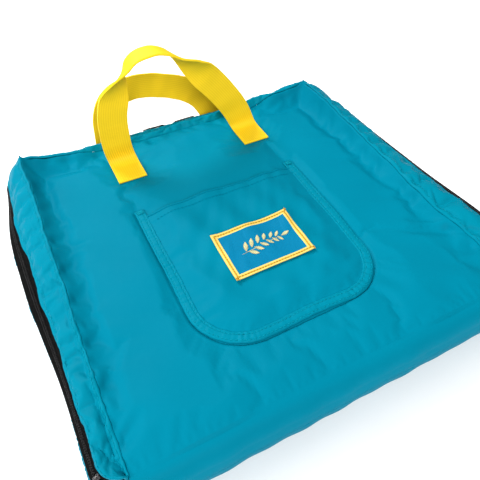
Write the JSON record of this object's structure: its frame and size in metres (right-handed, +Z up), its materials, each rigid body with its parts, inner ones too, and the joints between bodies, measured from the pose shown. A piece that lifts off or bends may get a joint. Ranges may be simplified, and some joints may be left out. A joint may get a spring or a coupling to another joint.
{
  "type": "garden kneeler seat",
  "caption": "Folding padded garden kneeler seat: zipped teal fabric case with yellow webbing handles and a patch pocket, opening flat into a kneeling mat.",
  "frame": {"origin": "on the floor under the middle of the closed seat, on the outer face of the back panel", "axes": "+X across the seat, +Y from the folded edge towards the handles, +Z up from the floor through the pocket side"},
  "size_m": [0.3518, 0.3434, 0.1439],
  "materials": {
    "shell_nylon": "coated plain-weave nylon, teal",
    "gusset_nylon": "coated plain-weave nylon, lighter teal",
    "webbing": "ribbed polypropylene webbing, yellow",
    "lining": "brushed polyester lining, charcoal",
    "foam": "soft foam pad, off-white",
    "zip_tape": "woven zip tape, black",
    "zip_coil": "nylon coil, black",
    "zip_metal": "black enamelled zinc",
    "label": "woven label, blue with a pale gold border"
  },
  "bodies": {
    "back_half": {"back_panel": "shell_nylon", "back_gusset_left": "gusset_nylon", "back_gusset_far": "gusset_nylon", "back_gusset_right": "gusset_nylon", "back_foam": "foam", "back_lining": "lining", "back_zip_tape": "zip_tape", "back_zip_coil": "zip_coil", "back_handle_foot_left": "webbing", "back_handle_foot_right": "webbing", "zip_stop_left": "zip_metal", "zip_stop_right": "zip_metal"},
    "spine": {"spine_panel": "shell_nylon", "spine_lining": "lining"},
    "front_half": {"front_panel": "shell_nylon", "front_gusset_left": "gusset_nylon", "front_gusset_far": "gusset_nylon", "front_gusset_right": "gusset_nylon", "front_foam": "foam", "front_lining": "lining", "front_zip_tape": "zip_tape", "front_zip_coil": "zip_coil", "front_handle_foot_left": "webbing", "front_handle_foot_right": "webbing", "pocket_panel": "shell_nylon", "pocket_binding": "gusset_nylon", "pocket_label": "label"},
    "front_handle": {"front_handle_loop": "webbing"},
    "back_handle": {"back_handle_loop": "webbing"},
    "zip_slider_left": {"zip_slider_left": "zip_metal"},
    "zip_slider_right": {"zip_slider_right": "zip_metal"},
    "zip_pull_left": {"zip_pull_left": "zip_metal"},
    "zip_pull_right": {"zip_pull_right": "zip_metal"}
  },
  "joints": [
    {"name": "fold_low", "type": "hinge", "parent": "back_half", "child": "spine", "pos_m": [0, -0.14275, 0.0114], "axis": [1, 0, 0], "range_deg": [0, 88]},
    {"name": "fold_high", "type": "hinge", "parent": "spine", "child": "front_half", "pos_m": [0, -0.14275, 0.0334], "axis": [1, 0, 0], "range_deg": [0, 88]},
    {"name": "front_handle_swing", "type": "hinge", "parent": "front_half", "child": "front_handle", "pos_m": [0, 0.125, 0.0476], "axis": [1, 0, 0], "range_deg": [-40, 75]},
    {"name": "back_handle_swing", "type": "hinge", "parent": "back_half", "child": "back_handle", "pos_m": [0, 0.125, 0.0008], "axis": [1, 0, 0], "range_deg": [-120, 0]},
    {"name": "zip_slider_left_run", "type": "slide", "parent": "back_half", "child": "zip_slider_left", "axis": [-1, 0, 0], "range_m": [0, 0.13]},
    {"name": "zip_slider_right_run", "type": "slide", "parent": "back_half", "child": "zip_slider_right", "axis": [1, 0, 0], "range_m": [0, 0.13]},
    {"name": "zip_pull_left_swing", "type": "hinge", "parent": "zip_slider_left", "child": "zip_pull_left", "pos_m": [-0.0065, 0.16968, 0.04257], "axis": [0, 0.682, -0.7314], "range_deg": [0, 90]},
    {"name": "zip_pull_right_swing", "type": "hinge", "parent": "zip_slider_right", "child": "zip_pull_right", "pos_m": [0.0065, 0.16968, 0.04257], "axis": [0, -0.682, 0.7314], "range_deg": [0, 90]}
  ],
  "couplings": [
    {"joint": "fold_high", "follows": "fold_low", "ratio": 1}
  ]
}
